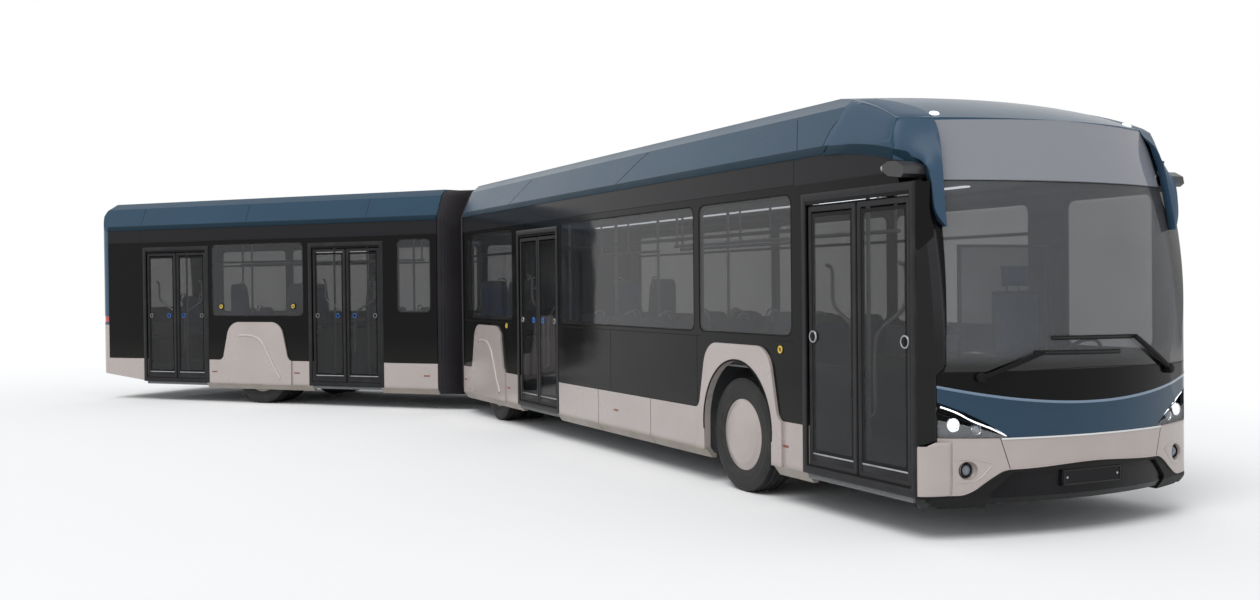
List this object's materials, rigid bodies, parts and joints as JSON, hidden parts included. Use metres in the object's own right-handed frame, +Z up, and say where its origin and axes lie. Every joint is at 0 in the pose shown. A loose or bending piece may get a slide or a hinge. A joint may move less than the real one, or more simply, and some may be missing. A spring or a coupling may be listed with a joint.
{
  "type": "articulated bus",
  "caption": "Low-floor articulated city bus: front section and trailer joined by turntable and bellows, with steering, spinning wheels and swinging door leaves.",
  "frame": {"origin": "on the ground under the middle of the bus's box, in its bent rest pose", "axes": "+X to the nose of the front section, +Y to the driver's side, +Z up"},
  "size_m": [17.066, 6.9018, 3.17],
  "materials": {
    "amber_lamp": "gloss",
    "battery": "matt",
    "beige_paint": "metallic satin",
    "bellows_fabric": "matt",
    "black_panel": "gloss",
    "black_plastic": "matt",
    "cab": "matt",
    "ceiling_panel": "matt",
    "door_frame": "satin",
    "floor_covering": "matt",
    "lamp": "clear",
    "petrol_paint": "gloss",
    "rail": "satin",
    "red_lamp": "gloss",
    "seat_shell": "matt",
    "steel": "matt",
    "tinted_glass": "clear",
    "tyre": "matt",
    "wheel_cover": "satin"
  },
  "bodies": {
    "front_section": {"roof_front": "petrol_paint", "ceiling_front": "ceiling_panel", "battery_front": "battery", "windows_front": "tinted_glass", "walls_front": "black_panel", "windscreen": "tinted_glass", "nose_panel": "petrol_paint", "headlamps": "lamp", "bumper": "beige_paint", "spoiler": "black_plastic", "tow_jaw": "steel", "wipers": "black_plastic", "skirts_front": "beige_paint", "floor_front": "floor_covering", "front_axle": "steel", "middle_axle": "steel", "turntable_front": "steel", "bellows": "bellows_fabric", "seats_front": "seat_shell", "driver_place": "cab", "handrails_front": "rail", "camera_arms": "black_plastic", "marker_lamps": "amber_lamp"},
    "trailer": {"roof_rear": "petrol_paint", "ceiling_rear": "ceiling_panel", "battery_rear": "battery", "windows_rear": "tinted_glass", "walls_rear": "black_panel", "tail_panel": "petrol_paint", "rear_window": "tinted_glass", "skirts_rear": "beige_paint", "floor_rear": "floor_covering", "rear_axle": "steel", "turntable_rear": "steel", "seats_rear": "seat_shell", "handrails_rear": "rail", "tail_lamps": "red_lamp"},
    "knuckle_right": {"knuckle_right": "steel"},
    "front_wheel_right": {"front_wheel_right": "wheel_cover", "front_tyre_right": "tyre"},
    "middle_wheels_right": {"middle_wheels_right": "steel", "middle_tyres_right": "tyre"},
    "rear_wheels_right": {"rear_wheels_right": "steel", "rear_tyres_right": "tyre"},
    "knuckle_left": {"knuckle_left": "steel"},
    "front_wheel_left": {"front_wheel_left": "wheel_cover", "front_tyre_left": "tyre"},
    "middle_wheels_left": {"middle_wheels_left": "steel", "middle_tyres_left": "tyre"},
    "rear_wheels_left": {"rear_wheels_left": "steel", "rear_tyres_left": "tyre"},
    "door_1_rear_leaf": {"door_1_rear_leaf": "door_frame"},
    "door_1_front_leaf": {"door_1_front_leaf": "door_frame"},
    "door_2_rear_leaf": {"door_2_rear_leaf": "door_frame"},
    "door_2_front_leaf": {"door_2_front_leaf": "door_frame"},
    "door_3_rear_leaf": {"door_3_rear_leaf": "door_frame"},
    "door_3_front_leaf": {"door_3_front_leaf": "door_frame"},
    "door_4_rear_leaf": {"door_4_rear_leaf": "door_frame"},
    "door_4_front_leaf": {"door_4_front_leaf": "door_frame"}
  },
  "joints": [
    {"name": "articulation", "type": "hinge", "parent": "front_section", "child": "trailer", "pos_m": [-2.36267, 2.1389, 0.335], "axis": [0, 0, 1], "range_deg": [-86, 4], "deforming": ["bellows"]},
    {"name": "steer_right", "type": "hinge", "parent": "front_section", "child": "knuckle_right", "pos_m": [5.85233, 1.1289, 0.4785], "axis": [0, 0, 1], "range_deg": [-40, 40]},
    {"name": "front_wheel_right_spin", "type": "hinge", "parent": "knuckle_right", "child": "front_wheel_right", "pos_m": [5.85233, 1.0444, 0.4785], "axis": [0, 1, 0], "continuous": true},
    {"name": "middle_wheels_right_spin", "type": "hinge", "parent": "front_section", "child": "middle_wheels_right", "pos_m": [-0.50767, 1.1184, 0.4785], "axis": [0, 1, 0], "continuous": true},
    {"name": "rear_wheels_right_spin", "type": "hinge", "parent": "trailer", "child": "rear_wheels_right", "pos_m": [-4.71954, -1.26207, 0.4785], "axis": [-0.6561, 0.7547, 0], "continuous": true},
    {"name": "steer_left", "type": "hinge", "parent": "front_section", "child": "knuckle_left", "pos_m": [5.85233, 3.1489, 0.4785], "axis": [0, 0, 1], "range_deg": [-40, 40]},
    {"name": "front_wheel_left_spin", "type": "hinge", "parent": "knuckle_left", "child": "front_wheel_left", "pos_m": [5.85233, 3.2334, 0.4785], "axis": [0, 1, 0], "continuous": true},
    {"name": "middle_wheels_left_spin", "type": "hinge", "parent": "front_section", "child": "middle_wheels_left", "pos_m": [-0.50767, 3.1594, 0.4785], "axis": [0, 1, 0], "continuous": true},
    {"name": "rear_wheels_left_spin", "type": "hinge", "parent": "trailer", "child": "rear_wheels_left", "pos_m": [-6.05856, 0.27829, 0.4785], "axis": [-0.6561, 0.7547, 0], "continuous": true},
    {"name": "door_1_rear_leaf_hinge", "type": "hinge", "parent": "front_section", "child": "door_1_rear_leaf", "pos_m": [6.94333, 0.8979, 1], "axis": [0, 0, 1], "range_deg": [0, 85]},
    {"name": "door_1_front_leaf_hinge", "type": "hinge", "parent": "front_section", "child": "door_1_front_leaf", "pos_m": [8.13533, 0.8979, 1], "axis": [0, 0, 1], "range_deg": [-85, 0]},
    {"name": "door_2_rear_leaf_hinge", "type": "hinge", "parent": "front_section", "child": "door_2_rear_leaf", "pos_m": [0.67133, 0.8979, 1], "axis": [0, 0, 1], "range_deg": [0, 85]},
    {"name": "door_2_front_leaf_hinge", "type": "hinge", "parent": "front_section", "child": "door_2_front_leaf", "pos_m": [1.82333, 0.8979, 1], "axis": [0, 0, 1], "range_deg": [-85, 0]},
    {"name": "door_3_rear_leaf_hinge", "type": "hinge", "parent": "trailer", "child": "door_3_rear_leaf", "pos_m": [-3.76055, -0.7206, 1], "axis": [0, 0, 1], "range_deg": [0, 85]},
    {"name": "door_3_front_leaf_hinge", "type": "hinge", "parent": "trailer", "child": "door_3_front_leaf", "pos_m": [-2.89113, 0.03518, 1], "axis": [0, 0, 1], "range_deg": [-85, 0]},
    {"name": "door_4_rear_leaf_hinge", "type": "hinge", "parent": "trailer", "child": "door_4_rear_leaf", "pos_m": [-6.19071, -2.83311, 1], "axis": [0, 0, 1], "range_deg": [0, 85]},
    {"name": "door_4_front_leaf_hinge", "type": "hinge", "parent": "trailer", "child": "door_4_front_leaf", "pos_m": [-5.32129, -2.07733, 1], "axis": [0, 0, 1], "range_deg": [-85, 0]}
  ],
  "couplings": [
    {"joint": "steer_right", "follows": "steer_left", "ratio": 1},
    {"joint": "door_1_front_leaf_hinge", "follows": "door_1_rear_leaf_hinge", "ratio": -1},
    {"joint": "door_2_front_leaf_hinge", "follows": "door_2_rear_leaf_hinge", "ratio": -1},
    {"joint": "door_3_front_leaf_hinge", "follows": "door_3_rear_leaf_hinge", "ratio": -1},
    {"joint": "door_4_front_leaf_hinge", "follows": "door_4_rear_leaf_hinge", "ratio": -1}
  ]
}
